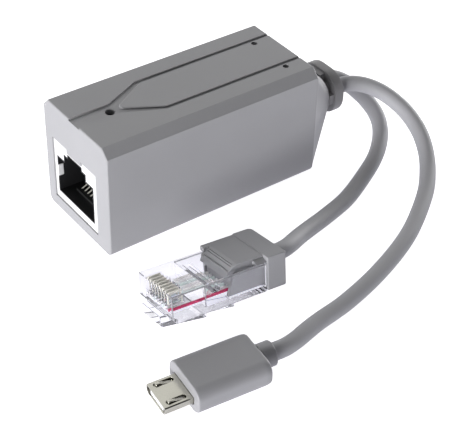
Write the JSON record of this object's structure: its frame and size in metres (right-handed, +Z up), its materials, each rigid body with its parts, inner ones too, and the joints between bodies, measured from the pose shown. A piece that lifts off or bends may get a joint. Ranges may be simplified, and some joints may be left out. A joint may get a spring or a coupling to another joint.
{
  "type": "power over ethernet splitter",
  "caption": "Power over Ethernet splitter: a grey moulded housing with a network jack, and two short leads to a clear network plug and a micro USB plug.",
  "frame": {"origin": "Under the middle of the housing, on the surface it stands on.", "axes": "+X runs from the jack's face to the end with the leads, +Z is up, and +Y is to the left of someone who looks along +X."},
  "size_m": [0.089, 0.0685, 0.0248],
  "materials": {
    "grey_moulding": "satin moulded plastic with a fine texture",
    "grey_cover": "satin moulded plastic",
    "white_moulding": "smooth white moulded plastic",
    "black_moulding": "smooth black moulded plastic",
    "gold_plating": "polished gold plating",
    "board_green": "solder-masked glass fibre board",
    "black_resin": "moulded black resin",
    "ferrite": "sintered ferrite",
    "winding_tape": "yellow film tape over enamelled wire",
    "capacitor_sleeve": "shrink sleeve over an aluminium can",
    "lamp_lens": "clear green epoxy",
    "soft_grey_moulding": "soft moulded sheath with a satin finish",
    "grey_sheath": "smooth flexible sheath",
    "clear_moulding": "clear moulded polycarbonate",
    "nickel_plating": "nickel-plated folded steel",
    "wire_red": "insulated wire",
    "wire_white": "insulated wire",
    "wire_green": "insulated wire",
    "wire_ivory": "insulated wire"
  },
  "bodies": {
    "root": {"housing": "grey_moulding", "base_cover": "grey_cover", "jack_bezel": "white_moulding", "jack_body": "black_moulding", "jack_contact_1": "gold_plating", "jack_contact_2": "gold_plating", "jack_contact_3": "gold_plating", "jack_contact_4": "gold_plating", "jack_contact_5": "gold_plating", "jack_contact_6": "gold_plating", "jack_contact_7": "gold_plating", "jack_contact_8": "gold_plating", "circuit_board": "board_green", "lan_transformer": "black_resin", "transformer_core_lower": "ferrite", "transformer_core_upper": "ferrite", "transformer_bobbin": "black_resin", "transformer_winding": "winding_tape", "input_capacitor": "capacitor_sleeve", "output_capacitor": "capacitor_sleeve", "controller_chip": "black_resin", "bridge_rectifier": "black_resin", "indicator_lamp": "lamp_lens", "strain_relief": "soft_grey_moulding", "data_lead": "grey_sheath", "power_lead": "grey_sheath", "plug_body": "clear_moulding", "plug_contact_1": "gold_plating", "plug_contact_2": "gold_plating", "plug_contact_3": "gold_plating", "plug_contact_4": "gold_plating", "plug_contact_5": "gold_plating", "plug_contact_6": "gold_plating", "plug_contact_7": "gold_plating", "plug_contact_8": "gold_plating", "plug_wire_1": "wire_red", "plug_wire_2": "wire_white", "plug_wire_3": "wire_green", "plug_wire_4": "wire_ivory", "plug_wire_5": "wire_white", "plug_wire_6": "wire_green", "plug_wire_7": "wire_white", "plug_wire_8": "wire_ivory", "plug_boot": "soft_grey_moulding", "usb_grip": "soft_grey_moulding", "usb_shell": "nickel_plating", "usb_insulator": "black_moulding", "usb_hook_left": "nickel_plating", "usb_hook_right": "nickel_plating"}
  },
  "joints": []
}
